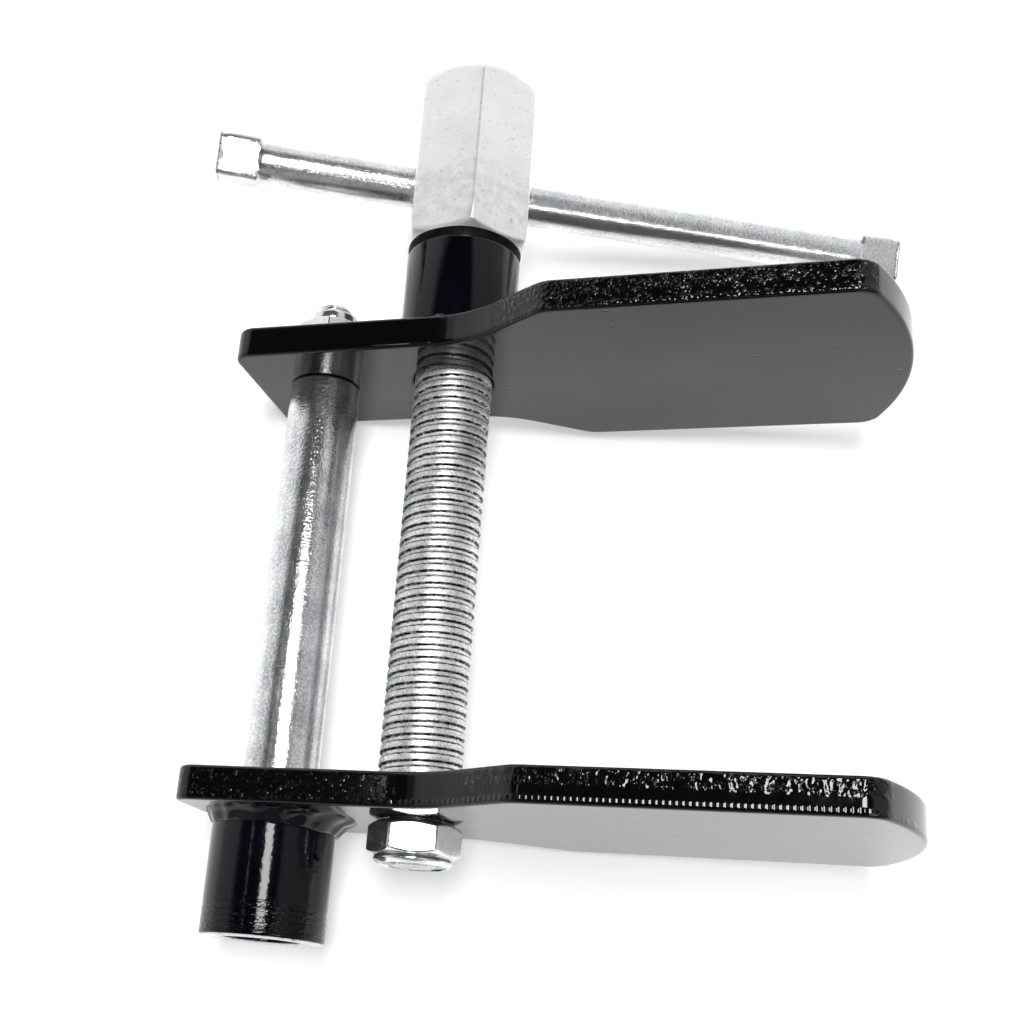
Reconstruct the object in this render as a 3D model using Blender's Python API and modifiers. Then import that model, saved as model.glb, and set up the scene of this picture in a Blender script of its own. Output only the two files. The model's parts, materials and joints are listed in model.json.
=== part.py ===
"""Screw spreader for disc brake callipers: two parallel jaws on a threaded spindle and a guide rod.

The tool is built in its own frame. Its origin is on the spindle axis, at the fixed jaw's inner
face; +X runs along the jaws to their tips and +Y along the spindle to its head. An empty then leans
the whole tool, the way it lies on a bench: on the jaws' back corners and the bar's end.
"""

import math

import bmesh
import bpy
from mathutils import Matrix

# Jaw plates
PLATE_THICKNESS = 0.008
NECK_WIDTH = 0.0424
ARM_WIDTH = 0.069
REACH = 0.110  # spindle axis to the tip
NECK_END = 0.0179  # guide rod axis to the neck's end
NECK_CORNER_RADIUS = 0.005
SHOULDER_START = -0.0005
SHOULDER_ANGLE = math.radians(32)
SHOULDER_HOLLOW_RADIUS = 0.030
SHOULDER_CREST_RADIUS = 0.008
TIP_RADIUS = 0.070
TIP_CORNER_RADIUS = 0.006
PLATE_EDGE_BEVEL = 0.0008
JAW_GAP = 0.103  # between the jaws' inner faces

# Spindle and its collar
SPINDLE_RADIUS = 0.0098
JOURNAL_RADIUS = 0.006
COLLAR_RADIUS = 0.0147
COLLAR_HEIGHT = 0.0264
COLLAR_CHAMFER = 0.0012
HEAD_FLATS = 0.030
HEAD_HEIGHT = 0.0504
HEAD_CLEARANCE = 0.0019  # collar's top to the head
HEAD_DOME_DROP = 0.005
HEAD_DOME_RADIUS = 0.009
HEAD_FOOT_CHAMFER = 0.0028
HEAD_SOCKET_DEPTH = 0.010
HEAD_TURN = math.radians(21)  # a flat's direction about the spindle, from +X towards -Z
BAR_TURN = math.radians(25.3)  # the bar's direction, drilled a little off the flats

# Guide rod and its boss
ROD_SPACING = 0.0345  # guide rod axis to spindle axis
ROD_RADIUS = 0.009
STUD_RADIUS = 0.005
STUD_PROTRUSION = 0.0148  # above the fixed jaw
BOSS_RADIUS = 0.0146
BOSS_HEIGHT = 0.028
ROD_RECESS = 0.0015  # rod's end inside the boss's mouth
END_CHAMFER = 0.001

# Tommy bar
BAR_RADIUS = 0.0053
BAR_LENGTH = 0.1853
BAR_OFFSET = 0.0257  # bar's middle from the spindle axis
BAR_HEIGHT = 0.018  # bar's axis above the head's foot
PINCH_LENGTH = 0.011
PINCH_WIDTH = 0.0122
PINCH_THICKNESS = 0.0092
PINCH_CORNER = 0.0016
PINCH_TURN = math.radians(16)

# Lock nuts
SPINDLE_NUT = dict(
    flats=0.019, hex_height=0.0072, height=0.0093, collar_radius=0.0092, bore=0.0063, insert_wall=0.0018
)
ROD_NUT = dict(
    flats=0.016, hex_height=0.0066, height=0.0098, collar_radius=0.0066, bore=0.0053, insert_wall=0.0009
)
NUT_TURN = math.radians(-16)
ROD_NUT_TURN = math.radians(15)
INSERT_DEPTH = 0.002
WASHER_RADIUS = 0.010
WASHER_THICKNESS = 0.002

# Fits and facets
REST_GAP = 0.0003  # between pieces that touch
RUNNING_FIT = 0.00008  # radial, between pieces that slide or turn
WELD_LEG = 0.0034
ROUND_STEPS = 48
SMALL_STEPS = 24
ARC_STEP = math.radians(11)

PARTS = "calliper_spreader"
CUTTERS = "cutters"


def clear_scene():
    for obj in list(bpy.data.objects):
        bpy.data.objects.remove(obj)


def new_collection(name):
    collection = bpy.data.collections.new(name)
    bpy.context.scene.collection.children.link(collection)
    return collection


def new_material(name, colour, roughness, metallic):
    material = bpy.data.materials.new(name)
    material.use_nodes = True
    shader = material.node_tree.nodes["Principled BSDF"]
    shader.inputs["Base Color"].default_value = (*colour, 1.0)
    shader.inputs["Roughness"].default_value = roughness
    shader.inputs["Metallic"].default_value = metallic
    return material


def empty_at(name, parent=None, location=(0, 0, 0), rotation=(0, 0, 0)):
    empty = bpy.data.objects.new(name, None)
    empty.empty_display_size = 0.02
    empty.location = location
    empty.rotation_euler = rotation
    empty.parent = parent
    bpy.data.collections[PARTS].objects.link(empty)
    return empty


def place(obj, parent, material=None, location=(0, 0, 0), rotation=(0, 0, 0)):
    """Adds a piece with a material to the parts, or a cutter without one to the cutters."""
    obj.location = location
    obj.rotation_euler = rotation
    obj.parent = parent
    if material:
        obj.data.materials.append(material)
        bpy.data.collections[PARTS].objects.link(obj)
    else:
        obj.hide_render = True
        obj.display_type = "WIRE"
        bpy.data.collections[CUTTERS].objects.link(obj)
    return obj


def combine(obj, other, operation):
    boolean = obj.modifiers.new(operation.lower(), "BOOLEAN")
    boolean.operation = operation
    boolean.solver = "EXACT"
    boolean.object = other


def arc(centre, radius, start, end):
    """Points on an arc from start to end, both angles in radians, with both ends."""
    count = max(2, math.ceil(abs(end - start) / ARC_STEP) + 1)
    angles = [start + (end - start) * i / (count - 1) for i in range(count)]
    return [(centre[0] + radius * math.cos(a), centre[1] + radius * math.sin(a)) for a in angles]


# ---------------------------------------------------------------- solids of revolution


def turned(name, profile, steps=ROUND_STEPS, ring=False):
    """A solid of revolution about the object's Z from (radius, height) points, top to bottom.

    A ring's profile is closed: down the outer side, then up the inner side.
    """
    mesh = bpy.data.meshes.new(name)
    points = [(radius, 0.0, height) for radius, height in profile]
    edges = [(i, i + 1) for i in range(len(points) - 1)]
    if ring:
        edges.append((len(points) - 1, 0))
    mesh.from_pydata(points, edges, [])
    obj = bpy.data.objects.new(name, mesh)
    screw = obj.modifiers.new("turn", "SCREW")
    screw.axis = "Z"
    screw.steps = steps
    screw.render_steps = steps
    screw.use_merge_vertices = True
    screw.merge_threshold = 0.00001
    screw.use_smooth_shade = True
    return obj


ALONG_SPINDLE = (-math.pi / 2, 0, 0)  # turns an object's Z to the spindle's +Y


def solid_profile(radius, top, bottom, chamfer=0.0):
    return [
        (0, top),
        (radius - chamfer, top),
        (radius, top - chamfer),
        (radius, bottom + chamfer),
        (radius - chamfer, bottom),
        (0, bottom),
    ]


def plain_profile(radius, top, bottom):
    return [(0, top), (radius, top), (radius, bottom), (0, bottom)]


def tube_profile(outer, inner, top, bottom, chamfer):
    return [
        (outer - chamfer, top),
        (outer, top - chamfer),
        (outer, bottom + chamfer),
        (outer - chamfer, bottom),
        (inner + chamfer / 2, bottom),
        (inner, bottom + chamfer / 2),
        (inner, top - chamfer / 2),
        (inner + chamfer / 2, top),
    ]


def weld_profile(inner, foot, side):
    """A bead in the corner between a tube and a plate. side is 1 above the plate, -1 below it."""
    section = [(0, 1), (0.35, 0.88), (0.7, 0.6), (0.93, 0.28), (1, 0), (0, 0)]
    points = [(inner + WELD_LEG * out, foot + side * WELD_LEG * up) for out, up in section]
    return points if side > 0 else points[::-1]


# ---------------------------------------------------------------- jaw plates


def half_outline():
    """The outline's upper half in the plate's plane, from the neck's end to the tip."""
    neck = NECK_WIDTH / 2
    arm = ARM_WIDTH / 2
    end = -(ROD_SPACING + NECK_END)
    points = arc(
        (end + NECK_CORNER_RADIUS, neck - NECK_CORNER_RADIUS),
        NECK_CORNER_RADIUS,
        math.pi,
        math.pi / 2,
    )
    points += arc(
        (SHOULDER_START, neck + SHOULDER_HOLLOW_RADIUS),
        SHOULDER_HOLLOW_RADIUS,
        -math.pi / 2,
        SHOULDER_ANGLE - math.pi / 2,
    )
    bends = SHOULDER_HOLLOW_RADIUS + SHOULDER_CREST_RADIUS
    slope = (arm - neck - bends * (1 - math.cos(SHOULDER_ANGLE))) / math.sin(SHOULDER_ANGLE)
    crest = SHOULDER_START + bends * math.sin(SHOULDER_ANGLE) + slope * math.cos(SHOULDER_ANGLE)
    points += arc(
        (crest, arm - SHOULDER_CREST_RADIUS),
        SHOULDER_CREST_RADIUS,
        SHOULDER_ANGLE + math.pi / 2,
        math.pi / 2,
    )
    tip_centre = REACH - TIP_RADIUS
    rise = arm - TIP_CORNER_RADIUS
    run = math.sqrt((TIP_RADIUS - TIP_CORNER_RADIUS) ** 2 - rise**2)
    meeting = math.atan2(rise, run)
    points += arc((tip_centre + run, rise), TIP_CORNER_RADIUS, math.pi / 2, meeting)
    points += arc((tip_centre, 0), TIP_RADIUS, meeting, 0)[1:]
    return points


def plate_outline():
    upper = half_outline()
    lower = [(x, -z) for x, z in upper[-2::-1]]
    return upper + lower


def flat_plate(name, parent, material, inner_y, outer_y, holes):
    """A plate between two heights on the spindle axis, with a hole for each (x, radius)."""
    curve = bpy.data.curves.new(name, "CURVE")
    curve.dimensions = "2D"
    curve.fill_mode = "BOTH"
    curve.extrude = PLATE_THICKNESS / 2
    spline = curve.splines.new("POLY")
    outline = plate_outline()
    spline.points.add(len(outline) - 1)
    for point, (x, z) in zip(spline.points, outline):
        point.co = (x, z, 0, 1)
    spline.use_cyclic_u = True
    flat = bpy.data.objects.new(name + "_outline", curve)
    bpy.context.scene.collection.objects.link(flat)
    graph = bpy.context.evaluated_depsgraph_get()
    mesh = bpy.data.meshes.new_from_object(flat.evaluated_get(graph))
    bpy.data.objects.remove(flat)
    work = bmesh.new()
    work.from_mesh(mesh)
    bmesh.ops.remove_doubles(work, verts=work.verts, dist=0.000001)
    bmesh.ops.dissolve_limit(work, angle_limit=0.001, verts=work.verts, edges=work.edges)
    bmesh.ops.recalc_face_normals(work, faces=work.faces)
    work.to_mesh(mesh)
    work.free()
    plate = bpy.data.objects.new(name, mesh)
    middle = (inner_y + outer_y) / 2
    place(plate, parent, material, (0, middle, 0), (math.pi / 2, 0, 0))
    bevel = plate.modifiers.new("edges", "BEVEL")
    bevel.width = PLATE_EDGE_BEVEL
    bevel.segments = 1
    bevel.limit_method = "ANGLE"
    bevel.angle_limit = math.radians(60)
    for x, radius in holes:
        reach = PLATE_THICKNESS
        cutter = turned(f"{name}_hole_{x * 1000:.0f}", plain_profile(radius, reach, -reach))
        place(cutter, parent, None, (x, middle, 0), ALONG_SPINDLE)
        combine(plate, cutter, "DIFFERENCE")
    return plate


# ---------------------------------------------------------------- hexagons and nuts


def hexagon(name, flats, top, bottom):
    """A six-sided prism on the object's Z, with a flat facing +X."""
    mesh = bpy.data.meshes.new(name)
    work = bmesh.new()
    bmesh.ops.create_cone(
        work,
        cap_ends=True,
        segments=6,
        radius1=flats / math.sqrt(3),
        radius2=flats / math.sqrt(3),
        depth=top - bottom,
        matrix=Matrix.Translation((0, 0, (top + bottom) / 2)),
    )
    work.to_mesh(mesh)
    work.free()
    return bpy.data.objects.new(name, mesh)


def lock_nut(name, parent, material, nut, location, turn, outward):
    """A hexagon nut whose collar holds a nylon ring. outward is 1 if the collar faces +Y."""
    rotation = (-outward * math.pi / 2, turn, 0)
    hex_height = nut["hex_height"]
    height = nut["height"]
    collar = nut["collar_radius"]
    bore = nut["bore"]
    pocket_radius = bore + nut["insert_wall"]
    lip = collar - pocket_radius
    corner = nut["flats"] / math.sqrt(3)
    body = place(hexagon(name, nut["flats"], hex_height, 0), parent, material, location, rotation)
    edge = nut["flats"] / 2 * 0.96
    drop = (corner * 1.05 - edge) * math.tan(math.radians(28))
    barrel = turned(
        name + "_barrel",
        [
            (0, hex_height + REST_GAP),
            (edge, hex_height + REST_GAP),
            (corner * 1.05, hex_height - drop),
            (corner * 1.05, drop),
            (edge, -REST_GAP),
            (0, -REST_GAP),
        ],
    )
    place(barrel, parent, None, location, rotation)
    combine(body, barrel, "INTERSECT")
    crown = turned(
        name + "_crown",
        [
            (0, height),
            (pocket_radius + lip * 0.4, height),
            (collar - lip * 0.2, height - 0.0004),
            (collar, height - 0.0013),
            (collar, hex_height * 0.6),
            (0, hex_height * 0.6),
        ],
    )
    place(crown, parent, None, location, rotation)
    combine(body, crown, "UNION")
    pocket = turned(
        name + "_pocket",
        [
            (0, height + 0.001),
            (pocket_radius, height + 0.001),
            (pocket_radius, height - INSERT_DEPTH),
            (bore, height - INSERT_DEPTH),
            (bore, -0.001),
            (0, -0.001),
        ],
    )
    place(pocket, parent, None, location, rotation)
    combine(body, pocket, "DIFFERENCE")


def lock_nut_insert(name, parent, material, nut, location, outward):
    rotation = (-outward * math.pi / 2, 0, 0)
    height = nut["height"]
    bore = nut["bore"]
    ring = turned(
        name,
        tube_profile(
            bore + nut["insert_wall"] - REST_GAP,
            bore,
            height - 0.0004,
            height - INSERT_DEPTH + REST_GAP,
            0.0002,
        ),
        ring=True,
    )
    place(ring, parent, material, location, rotation)


# ---------------------------------------------------------------- fixed jaw


def fixed_jaw(tool, paint, zinc, nylon):
    holes = [(0, SPINDLE_RADIUS + REST_GAP), (-ROD_SPACING, STUD_RADIUS + REST_GAP)]
    flat_plate("fixed_jaw_plate", tool, paint, 0, PLATE_THICKNESS, holes)
    foot = PLATE_THICKNESS + REST_GAP
    collar = turned(
        "threaded_collar",
        tube_profile(COLLAR_RADIUS, collar_bore(), foot + COLLAR_HEIGHT, foot, COLLAR_CHAMFER),
        ring=True,
    )
    place(collar, tool, paint, (0, 0, 0), ALONG_SPINDLE)
    weld_inner = COLLAR_RADIUS + REST_GAP
    weld = turned("collar_weld", weld_profile(weld_inner, foot, 1), ring=True)
    place(weld, tool, paint, (0, 0, 0), ALONG_SPINDLE)
    guide_rod(tool, zinc, nylon)


def collar_bore():
    """Wide enough for the spindle's corners to turn past the bore's flats."""
    return (SPINDLE_RADIUS + RUNNING_FIT) / math.cos(math.pi / ROUND_STEPS)


def guide_rod(tool, zinc, nylon):
    rod_end = -(JAW_GAP + PLATE_THICKNESS + REST_GAP + BOSS_HEIGHT - ROD_RECESS)
    rod = turned(
        "guide_rod",
        [
            (0, PLATE_THICKNESS + STUD_PROTRUSION),
            (STUD_RADIUS - 0.0006, PLATE_THICKNESS + STUD_PROTRUSION),
            (STUD_RADIUS, PLATE_THICKNESS + STUD_PROTRUSION - 0.0006),
            (STUD_RADIUS, -REST_GAP),
            (ROD_RADIUS - END_CHAMFER / 2, -REST_GAP),
            (ROD_RADIUS, -REST_GAP - END_CHAMFER / 2),
            (ROD_RADIUS, rod_end + END_CHAMFER),
            (ROD_RADIUS - END_CHAMFER, rod_end),
            (0, rod_end),
        ],
    )
    axis = (-ROD_SPACING, 0, 0)
    place(rod, tool, zinc, axis, ALONG_SPINDLE)
    washer_foot = PLATE_THICKNESS + REST_GAP
    washer = turned(
        "guide_rod_washer",
        tube_profile(
            WASHER_RADIUS,
            STUD_RADIUS + REST_GAP,
            washer_foot + WASHER_THICKNESS,
            washer_foot,
            0.0003,
        ),
        ring=True,
    )
    place(washer, tool, zinc, axis, ALONG_SPINDLE)
    seat = (-ROD_SPACING, washer_foot + WASHER_THICKNESS + REST_GAP, 0)
    lock_nut("guide_rod_nut", tool, zinc, ROD_NUT, seat, ROD_NUT_TURN, 1)
    lock_nut_insert("guide_rod_nut_insert", tool, nylon, ROD_NUT, seat, 1)


# ---------------------------------------------------------------- moving jaw


def moving_jaw(slide, paint):
    back = -(JAW_GAP + PLATE_THICKNESS)
    holes = [(0, journal_bore()), (-ROD_SPACING, ROD_RADIUS + REST_GAP)]
    flat_plate("moving_jaw_plate", slide, paint, -JAW_GAP, back, holes)
    top = back - REST_GAP
    boss = turned(
        "guide_boss",
        tube_profile(BOSS_RADIUS, ROD_RADIUS + RUNNING_FIT, top, top - BOSS_HEIGHT, END_CHAMFER),
        ring=True,
    )
    axis = (-ROD_SPACING, 0, 0)
    place(boss, slide, paint, axis, ALONG_SPINDLE)
    weld_inner = BOSS_RADIUS + REST_GAP
    weld = turned("boss_weld", weld_profile(weld_inner, top, -1), ring=True)
    place(weld, slide, paint, axis, ALONG_SPINDLE)


def journal_bore():
    return (JOURNAL_RADIUS + RUNNING_FIT) / math.cos(math.pi / ROUND_STEPS)


# ---------------------------------------------------------------- spindle


def head_foot():
    return PLATE_THICKNESS + REST_GAP + COLLAR_HEIGHT + HEAD_CLEARANCE


def spindle(turn, zinc, nylon):
    stub_top = head_foot() + HEAD_SOCKET_DEPTH - REST_GAP
    nut_seat = -(JAW_GAP + PLATE_THICKNESS + REST_GAP)
    end = nut_seat - SPINDLE_NUT["height"] + 0.0006
    shoulder = -JAW_GAP + REST_GAP
    rod = turned(
        "spindle",
        [
            (0, stub_top),
            (SPINDLE_RADIUS - END_CHAMFER, stub_top),
            (SPINDLE_RADIUS, stub_top - END_CHAMFER),
            (SPINDLE_RADIUS, shoulder + END_CHAMFER / 2),
            (SPINDLE_RADIUS - END_CHAMFER / 2, shoulder),
            (JOURNAL_RADIUS, shoulder),
            (JOURNAL_RADIUS, end + END_CHAMFER / 2),
            (JOURNAL_RADIUS - END_CHAMFER / 2, end),
            (0, end),
        ],
    )
    place(rod, turn, zinc, (0, 0, 0), ALONG_SPINDLE)
    hex_head(turn, zinc)
    seat = (0, nut_seat, 0)
    lock_nut("spindle_nut", turn, zinc, SPINDLE_NUT, seat, NUT_TURN, -1)
    lock_nut_insert("spindle_nut_insert", turn, nylon, SPINDLE_NUT, seat, -1)


def dome_profile(foot, top):
    """The head's round envelope: a domed crown over its corners and a small chamfer at its foot."""
    corner = HEAD_FLATS / math.sqrt(3) + REST_GAP
    width = corner - HEAD_DOME_RADIUS
    crown = [
        (HEAD_DOME_RADIUS + width * math.sin(a), top - HEAD_DOME_DROP * (1 - math.cos(a)))
        for a in [math.radians(d) for d in range(0, 91, 15)]
    ]
    lowest = foot - REST_GAP
    return [
        (0, top),
        *crown,
        (corner, foot + HEAD_FOOT_CHAMFER),
        (HEAD_FLATS / 2 - REST_GAP, lowest),
        (0, lowest),
    ]


def hex_head(turn, zinc):
    foot = head_foot()
    top = foot + HEAD_HEIGHT
    head = hexagon("hex_head", HEAD_FLATS, top + REST_GAP, foot)
    place(head, turn, zinc, (0, 0, 0), (-math.pi / 2, HEAD_TURN, 0))
    envelope = place(turned("head_envelope", dome_profile(foot, top)), turn, None, (0, 0, 0), ALONG_SPINDLE)
    combine(head, envelope, "INTERSECT")
    socket = turned(
        "head_socket",
        plain_profile(SPINDLE_RADIUS + REST_GAP, foot + HEAD_SOCKET_DEPTH, foot - 0.001),
    )
    place(socket, turn, None, (0, 0, 0), ALONG_SPINDLE)
    combine(head, socket, "DIFFERENCE")
    eye = turned(
        "bar_eye",
        plain_profile(BAR_RADIUS + RUNNING_FIT, HEAD_FLATS, -HEAD_FLATS),
        SMALL_STEPS,
    )
    place(eye, turn, None, (0, foot + BAR_HEIGHT, 0), along_bar())
    combine(head, eye, "DIFFERENCE")


def along_bar():
    """Rotation that turns an object's Z to the bar's direction."""
    return (0, math.pi / 2 + BAR_TURN, 0)


def tommy_bar(bar_slide, zinc):
    """A round bar whose ends are pinched wider than the eye, so that it can't fall out."""
    half = BAR_LENGTH / 2
    round_end = half - PINCH_LENGTH + REST_GAP
    bar = turned("tommy_bar", plain_profile(BAR_RADIUS, round_end, -round_end), SMALL_STEPS)
    place(bar, bar_slide, zinc, (0, 0, BAR_OFFSET))
    for name, side in (("far_pinch", 1), ("near_pinch", -1)):
        pinch = pinched_end(name)
        middle = BAR_OFFSET + side * (half - PINCH_LENGTH / 2)
        place(pinch, bar_slide, None, (0, 0, middle), (0, 0, PINCH_TURN))
        combine(bar, pinch, "UNION")


def pinched_end(name):
    mesh = bpy.data.meshes.new(name)
    work = bmesh.new()
    size = (PINCH_THICKNESS, PINCH_WIDTH, PINCH_LENGTH)
    bmesh.ops.create_cube(work, size=1, matrix=Matrix.Diagonal((*size, 1)))
    corners = [edge for edge in work.edges if abs(edge.verts[0].co.z - edge.verts[1].co.z) > 0.001]
    bmesh.ops.bevel(
        work,
        geom=corners,
        offset=PINCH_CORNER,
        segments=3,
        profile=0.5,
        affect="EDGES",
    )
    work.to_mesh(mesh)
    work.free()
    return bpy.data.objects.new(name, mesh)


# ---------------------------------------------------------------- lying on the bench


def world_points(objects):
    graph = bpy.context.evaluated_depsgraph_get()
    points = []
    for obj in objects:
        evaluated = obj.evaluated_get(graph)
        mesh = evaluated.to_mesh()
        points += [evaluated.matrix_world @ vertex.co for vertex in mesh.vertices]
        evaluated.to_mesh_clear()
    return points


def lay_down(tool, bar, plates):
    """Leans the tool until the plates' back corners and the bar's end are level, then puts the
    middle of its footprint on the bench at the origin."""
    bpy.context.view_layer.update()
    bar_points = [p for p in world_points([bar]) if p.x > 0]
    corner_points = [p for p in world_points(plates) if p.x < 0]

    def lowest(points, lean):
        return min(p.z * math.cos(lean) + p.x * math.sin(lean) for p in points)

    low, high = 0.0, math.radians(30)
    for _ in range(40):
        lean = (low + high) / 2
        if lowest(bar_points, lean) < lowest(corner_points, lean):
            low = lean
        else:
            high = lean
    tool.rotation_euler = (0, -lean, 0)
    bpy.context.view_layer.update()
    pieces = [obj for obj in bpy.data.collections[PARTS].objects if obj.type == "MESH"]
    points = world_points(pieces)
    middle_x = (min(p.x for p in points) + max(p.x for p in points)) / 2
    middle_y = (min(p.y for p in points) + max(p.y for p in points)) / 2
    tool.location = (-middle_x, -middle_y, -min(p.z for p in points))
    bpy.context.view_layer.update()


def main():
    clear_scene()
    new_collection(PARTS)
    new_collection(CUTTERS)
    paint = new_material("black_paint", (0.012, 0.012, 0.014), 0.18, 0.0)
    zinc = new_material("zinc_plate", (0.62, 0.64, 0.66), 0.35, 1.0)
    nylon = new_material("nylon", (0.75, 0.77, 0.78), 0.5, 0.0)
    tool = empty_at("tool")
    slide = empty_at("moving_jaw_slide", tool)
    turn = empty_at("spindle_turn", slide)
    bar_slide = empty_at("bar_slide", turn, (0, head_foot() + BAR_HEIGHT, 0), along_bar())
    fixed_jaw(tool, paint, zinc, nylon)
    moving_jaw(slide, paint)
    spindle(turn, zinc, nylon)
    tommy_bar(bar_slide, zinc)
    objects = bpy.data.objects
    plates = [objects["fixed_jaw_plate"], objects["moving_jaw_plate"]]
    lay_down(tool, objects["tommy_bar"], plates)


main()
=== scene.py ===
import json
import math

import bmesh
import bpy
from mathutils import Matrix, Vector, noise

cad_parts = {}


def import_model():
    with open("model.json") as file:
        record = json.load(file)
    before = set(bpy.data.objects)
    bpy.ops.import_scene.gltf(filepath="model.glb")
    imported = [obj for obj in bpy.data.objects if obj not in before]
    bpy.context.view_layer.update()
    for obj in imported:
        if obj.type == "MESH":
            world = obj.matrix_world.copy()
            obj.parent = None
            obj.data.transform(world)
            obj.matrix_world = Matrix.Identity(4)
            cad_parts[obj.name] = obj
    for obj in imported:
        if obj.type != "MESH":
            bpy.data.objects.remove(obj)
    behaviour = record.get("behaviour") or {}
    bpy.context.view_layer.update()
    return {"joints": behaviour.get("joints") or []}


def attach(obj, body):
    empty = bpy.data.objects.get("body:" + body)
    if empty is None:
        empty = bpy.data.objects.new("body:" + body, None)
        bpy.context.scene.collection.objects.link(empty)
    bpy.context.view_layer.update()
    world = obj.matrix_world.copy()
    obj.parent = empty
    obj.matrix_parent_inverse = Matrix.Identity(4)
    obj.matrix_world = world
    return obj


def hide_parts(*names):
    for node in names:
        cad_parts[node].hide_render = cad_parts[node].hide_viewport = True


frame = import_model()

MM = 0.001
joints = {j["name"]: j for j in frame["joints"]}

# ------------------------------------------------------------------ sizes, in millimetres
#
# The tool's own frame has its origin on the spindle's axis at the fixed jaw's inner face, Y along the
# spindle towards the head, X along the jaws towards their tips, and Z up towards the camera.

PLATE = 8.0  # a jaw's thickness
NECK = 21.2  # half its width beside the guide rod
ARM = 34.5  # half its width along the arm
REACH = 110.0  # X of its tip
ROD_X = -34.5  # X of the guide rod
END_X = ROD_X - 17.9  # X of its other end
GAP = 103.0  # between the jaws' inner faces
MOVING_FOOT = -GAP - PLATE  # Y of the moving jaw's outer face
BEVEL = 0.85  # round a plate's edges

SPINDLE_R = 9.8
PITCH = 3.0
JOURNAL_R = 6.0  # the spindle's turned-down end, inside the moving jaw
SPINDLE_END = MOVING_FOOT - 9.9  # Y of its lower end
COLLAR_R = 14.7
COLLAR_TOP = 34.7

HEAD_A = 15.0  # half the head's width across flats
HEAD_FOOT = 36.6
HEAD_TOP = 87.0
HEAD_TURN = math.radians(21)

BAR_Y = 54.6
BAR_R = 5.3
BAR_NEAR = -66.95  # the tommy bar's two ends, along it from the spindle's axis
BAR_FAR = 118.35
PINCH = 11.0  # length of each pinched end
BAR_TURN = math.radians(25.3)

ROD_R = 9.0
STUD_R = 5.0  # the guide rod's threaded end
STUD_HOLE = 5.3
BOSS_R = 14.6
BOSS_END = -139.3  # Y of the guide boss's rim
ROD_END = BOSS_END + 1.5

TEETH_PITCH = 1.3  # of the shear's teeth along the moving jaw's edge
GROOVE_PHASE = 1.0667  # puts the start of the thread's section at 0.1 of a pitch
GROOVE_SHADE_LINES = (0.125, 0.555)  # where along a pitch the two edges of the groove carry painted shade

axis = joints["bar_slide"]["axis"]
LEAN = BAR_TURN - math.atan2(-axis[2], axis[0])
TOOL = Matrix.Translation(Vector(joints["spindle_turn"]["pos_m"])) @ Matrix.Rotation(-LEAN, 4, "Y")
BAR = TOOL @ Matrix.Translation((0, BAR_Y * MM, 0)) @ Matrix.Rotation(math.pi / 2 + BAR_TURN, 4, "Y")

# ------------------------------------------------------------------ shader helpers


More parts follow.
